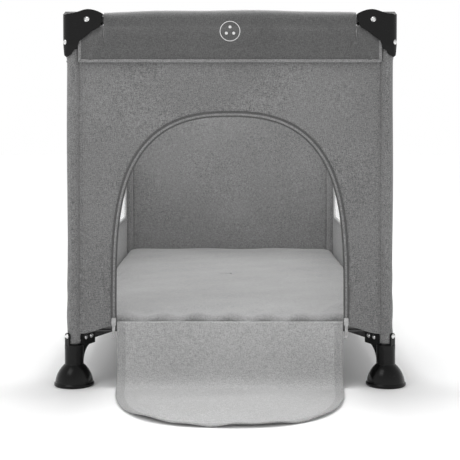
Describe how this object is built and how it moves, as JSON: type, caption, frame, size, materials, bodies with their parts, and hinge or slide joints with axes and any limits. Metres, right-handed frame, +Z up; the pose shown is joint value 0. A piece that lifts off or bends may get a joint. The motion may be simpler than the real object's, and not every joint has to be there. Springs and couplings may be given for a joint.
{
  "type": "playpen",
  "caption": "Folding fabric playpen with a padded rim, mesh side windows, a padded floor and an arched zip-open door flap at one end.",
  "frame": {"origin": "on the floor, midway between the four posts, at the centre foot's resting face", "axes": "+Z up, +Y along the length away from the door end, +X across the width"},
  "size_m": [0.714, 1.5542, 0.7601],
  "materials": {
    "frame_tube": "satin grey powder coat",
    "base_bar_paint": "black powder coat, bright where it catches light",
    "cap_plastic": "glossy black moulding",
    "foot_plastic": "glossy black moulding",
    "bright_fastener": "bright plated heads",
    "hub_plastic": "matt black moulding",
    "button_plastic": "matt grey moulding",
    "latch_plastic": "matt black moulding",
    "cover_fabric": "dark grey padded woven polyester",
    "wall_fabric": "mid grey melange woven polyester",
    "sleeve_fabric": "mid grey melange woven polyester",
    "window_net": "white knitted net, see-through",
    "floor_fabric": "dark grey coated polyester",
    "mattress_fabric": "light grey melange cover over foam",
    "zip_tape": "dark tape with coil teeth",
    "slider_metal": "dark nickel",
    "door_fabric": "light grey melange woven polyester"
  },
  "bodies": {
    "corner_front_left": {"post_front_left": "frame_tube", "post_sleeve_front_left": "sleeve_fabric", "corner_cap_front_left": "cap_plastic", "foot_front_left": "foot_plastic", "corner_fasteners_front_left": "bright_fastener", "front_wall": "wall_fabric", "left_wall": "wall_fabric", "left_window_mesh": "window_net", "door_zip": "zip_tape"},
    "corner_front_right": {"post_front_right": "frame_tube", "post_sleeve_front_right": "sleeve_fabric", "corner_cap_front_right": "cap_plastic", "foot_front_right": "foot_plastic", "corner_fasteners_front_right": "bright_fastener", "right_wall": "wall_fabric", "right_window_mesh": "window_net"},
    "corner_rear_left": {"post_rear_left": "frame_tube", "post_sleeve_rear_left": "sleeve_fabric", "corner_cap_rear_left": "cap_plastic", "foot_rear_left": "foot_plastic", "corner_fasteners_rear_left": "bright_fastener", "rear_wall": "wall_fabric"},
    "corner_rear_right": {"post_rear_right": "frame_tube", "post_sleeve_rear_right": "sleeve_fabric", "corner_cap_rear_right": "cap_plastic", "foot_rear_right": "foot_plastic", "corner_fasteners_rear_right": "bright_fastener"},
    "bar_front_left": {"base_bar_front_left": "base_bar_paint"},
    "bar_front_right": {"base_bar_front_right": "base_bar_paint"},
    "bar_rear_right": {"base_bar_rear_right": "base_bar_paint"},
    "bar_rear_left": {"base_bar_rear_left": "base_bar_paint"},
    "hub": {"hub": "hub_plastic", "hub_pins": "bright_fastener", "floor_panel": "floor_fabric", "mattress": "mattress_fabric"},
    "half_rail_front_left": {"half_rail_front_left": "frame_tube"},
    "half_rail_front_right": {"half_rail_front_right": "frame_tube"},
    "half_rail_rear_left": {"half_rail_rear_left": "frame_tube"},
    "half_rail_rear_right": {"half_rail_rear_right": "frame_tube"},
    "half_rail_left_front": {"half_rail_left_front": "frame_tube"},
    "half_rail_left_rear": {"half_rail_left_rear": "frame_tube"},
    "half_rail_right_front": {"half_rail_right_front": "frame_tube"},
    "half_rail_right_rear": {"half_rail_right_rear": "frame_tube"},
    "latch_front": {"latch_front": "latch_plastic", "rail_cover_front": "cover_fabric"},
    "button_front": {"latch_button_front": "button_plastic"},
    "latch_rear": {"latch_rear": "latch_plastic", "rail_cover_rear": "cover_fabric"},
    "button_rear": {"latch_button_rear": "button_plastic"},
    "latch_left": {"latch_left": "latch_plastic", "rail_cover_left": "cover_fabric"},
    "button_left": {"latch_button_left": "button_plastic"},
    "latch_right": {"latch_right": "latch_plastic", "rail_cover_right": "cover_fabric"},
    "button_right": {"latch_button_right": "button_plastic"},
    "door_upper": {"door_upper": "door_fabric"},
    "door_bend": {"door_bend": "door_fabric"},
    "door_tip": {"door_tip": "door_fabric"},
    "zip_slider_left": {"zip_slider_left": "slider_metal"},
    "zip_slider_right": {"zip_slider_right": "slider_metal"}
  },
  "joints": [
    {"name": "fold", "type": "hinge", "parent": "corner_front_left", "child": "bar_front_left", "pos_m": [-0.29845, -0.56208, 0.0945], "axis": [0.9029, -0.4298, 0], "range_deg": [0, 82], "deforming": ["front_wall", "rear_wall", "left_wall", "right_wall", "left_window_mesh", "right_window_mesh", "rail_cover_front", "rail_cover_rear", "rail_cover_left", "rail_cover_right", "floor_panel", "mattress", "door_zip", "door_upper", "door_bend", "door_tip", "zip_slider_left", "zip_slider_right"]},
    {"name": "hub_turn", "type": "hinge", "parent": "bar_front_left", "child": "hub", "pos_m": [-0.04095, -0.02108, 0.0945], "axis": [0.9029, -0.4298, 0], "range_deg": [-82, 0]},
    {"name": "bar_front_right_turn", "type": "hinge", "parent": "hub", "child": "bar_front_right", "pos_m": [0.04095, -0.02108, 0.0945], "axis": [0.9029, 0.4298, 0], "range_deg": [0, 82]},
    {"name": "foot_front_right_turn", "type": "hinge", "parent": "bar_front_right", "child": "corner_front_right", "pos_m": [0.29845, -0.56208, 0.0945], "axis": [0.9029, 0.4298, 0], "range_deg": [-82, 0]},
    {"name": "bar_rear_right_turn", "type": "hinge", "parent": "hub", "child": "bar_rear_right", "pos_m": [0.04095, 0.02108, 0.0945], "axis": [-0.9029, 0.4298, 0], "range_deg": [0, 82]},
    {"name": "foot_rear_right_turn", "type": "hinge", "parent": "bar_rear_right", "child": "corner_rear_right", "pos_m": [0.29845, 0.56208, 0.0945], "axis": [-0.9029, 0.4298, 0], "range_deg": [-82, 0]},
    {"name": "bar_rear_left_turn", "type": "hinge", "parent": "hub", "child": "bar_rear_left", "pos_m": [-0.04095, 0.02108, 0.0945], "axis": [-0.9029, -0.4298, 0], "range_deg": [0, 82]},
    {"name": "foot_rear_left_turn", "type": "hinge", "parent": "bar_rear_left", "child": "corner_rear_left", "pos_m": [-0.29845, 0.56208, 0.0945], "axis": [-0.9029, -0.4298, 0], "range_deg": [-82, 0]},
    {"name": "half_rail_front_left_turn", "type": "hinge", "parent": "corner_front_left", "child": "half_rail_front_left", "pos_m": [-0.2875, -0.6, 0.74], "axis": [0, 1, 0], "range_deg": [0, 82]},
    {"name": "half_rail_left_front_turn", "type": "hinge", "parent": "corner_front_left", "child": "half_rail_left_front", "pos_m": [-0.3165, -0.571, 0.74], "axis": [-1, 0, 0], "range_deg": [0, 82]},
    {"name": "half_rail_front_right_turn", "type": "hinge", "parent": "corner_front_right", "child": "half_rail_front_right", "pos_m": [0.2875, -0.6, 0.74], "axis": [0, -1, 0], "range_deg": [0, 82]},
    {"name": "half_rail_right_front_turn", "type": "hinge", "parent": "corner_front_right", "child": "half_rail_right_front", "pos_m": [0.3165, -0.571, 0.74], "axis": [-1, 0, 0], "range_deg": [0, 82]},
    {"name": "half_rail_rear_left_turn", "type": "hinge", "parent": "corner_rear_left", "child": "half_rail_rear_left", "pos_m": [-0.2875, 0.6, 0.74], "axis": [0, 1, 0], "range_deg": [0, 82]},
    {"name": "half_rail_left_rear_turn", "type": "hinge", "parent": "corner_rear_left", "child": "half_rail_left_rear", "pos_m": [-0.3165, 0.571, 0.74], "axis": [1, 0, 0], "range_deg": [0, 82]},
    {"name": "half_rail_rear_right_turn", "type": "hinge", "parent": "corner_rear_right", "child": "half_rail_rear_right", "pos_m": [0.2875, 0.6, 0.74], "axis": [0, -1, 0], "range_deg": [0, 82]},
    {"name": "half_rail_right_rear_turn", "type": "hinge", "parent": "corner_rear_right", "child": "half_rail_right_rear", "pos_m": [0.3165, 0.571, 0.74], "axis": [1, 0, 0], "range_deg": [0, 82]},
    {"name": "latch_front_turn", "type": "hinge", "parent": "half_rail_front_left", "child": "latch_front", "pos_m": [-0.03, -0.6, 0.74], "axis": [0, 1, 0], "range_deg": [-82, 0]},
    {"name": "latch_front_press", "type": "slide", "parent": "latch_front", "child": "button_front", "axis": [0, 0, 1], "range_m": [0, 0.005], "stiffness_N_per_m": 1000},
    {"name": "latch_rear_turn", "type": "hinge", "parent": "half_rail_rear_left", "child": "latch_rear", "pos_m": [-0.03, 0.6, 0.74], "axis": [0, 1, 0], "range_deg": [-82, 0]},
    {"name": "latch_rear_press", "type": "slide", "parent": "latch_rear", "child": "button_rear", "axis": [0, 0, 1], "range_m": [0, 0.005], "stiffness_N_per_m": 1000},
    {"name": "latch_left_turn", "type": "hinge", "parent": "half_rail_left_front", "child": "latch_left", "pos_m": [-0.3165, -0.03, 0.74], "axis": [-1, 0, 0], "range_deg": [-82, 0]},
    {"name": "latch_left_press", "type": "slide", "parent": "latch_left", "child": "button_left", "axis": [0, 0, 1], "range_m": [0, 0.005], "stiffness_N_per_m": 1000},
    {"name": "latch_right_turn", "type": "hinge", "parent": "half_rail_right_front", "child": "latch_right", "pos_m": [0.3165, -0.03, 0.74], "axis": [-1, 0, 0], "range_deg": [-82, 0]},
    {"name": "latch_right_press", "type": "slide", "parent": "latch_right", "child": "button_right", "axis": [0, 0, 1], "range_m": [0, 0.005], "stiffness_N_per_m": 1000},
    {"name": "door_swing", "type": "hinge", "parent": "corner_front_left", "child": "door_upper", "pos_m": [0, -0.6071, 0.13], "axis": [-1, 0, 0], "range_deg": [0, 180]},
    {"name": "door_bend_straighten", "type": "hinge", "parent": "door_upper", "child": "door_bend", "pos_m": [0, -0.61226, 0.03212], "axis": [-1, 0, 0], "range_deg": [-45, 0]},
    {"name": "door_tip_straighten", "type": "hinge", "parent": "door_bend", "child": "door_tip", "pos_m": [0, -0.63932, 0.00506], "axis": [-1, 0, 0], "range_deg": [-45, 0]},
    {"name": "zip_left_pull", "type": "slide", "parent": "corner_front_left", "child": "zip_slider_left", "axis": [0, 0, 1], "range_m": [0, 0.11]},
    {"name": "zip_right_pull", "type": "slide", "parent": "corner_front_left", "child": "zip_slider_right", "axis": [0, 0, 1], "range_m": [0, 0.11]}
  ],
  "couplings": [
    {"joint": "hub_turn", "follows": "fold", "ratio": -1},
    {"joint": "bar_front_right_turn", "follows": "fold", "ratio": 1},
    {"joint": "foot_front_right_turn", "follows": "fold", "ratio": -1},
    {"joint": "bar_rear_right_turn", "follows": "fold", "ratio": 1},
    {"joint": "foot_rear_right_turn", "follows": "fold", "ratio": -1},
    {"joint": "bar_rear_left_turn", "follows": "fold", "ratio": 1},
    {"joint": "foot_rear_left_turn", "follows": "fold", "ratio": -1},
    {"joint": "half_rail_front_left_turn", "follows": "fold", "ratio": 1},
    {"joint": "half_rail_left_front_turn", "follows": "fold", "ratio": 1},
    {"joint": "half_rail_front_right_turn", "follows": "fold", "ratio": 1},
    {"joint": "half_rail_right_front_turn", "follows": "fold", "ratio": 1},
    {"joint": "half_rail_rear_left_turn", "follows": "fold", "ratio": 1},
    {"joint": "half_rail_left_rear_turn", "follows": "fold", "ratio": 1},
    {"joint": "half_rail_rear_right_turn", "follows": "fold", "ratio": 1},
    {"joint": "half_rail_right_rear_turn", "follows": "fold", "ratio": 1},
    {"joint": "latch_front_turn", "follows": "fold", "ratio": -1},
    {"joint": "latch_rear_turn", "follows": "fold", "ratio": -1},
    {"joint": "latch_left_turn", "follows": "fold", "ratio": -1},
    {"joint": "latch_right_turn", "follows": "fold", "ratio": -1},
    {"joint": "door_bend_straighten", "follows": "door_swing", "ratio": -0.25},
    {"joint": "door_tip_straighten", "follows": "door_swing", "ratio": -0.25}
  ]
}
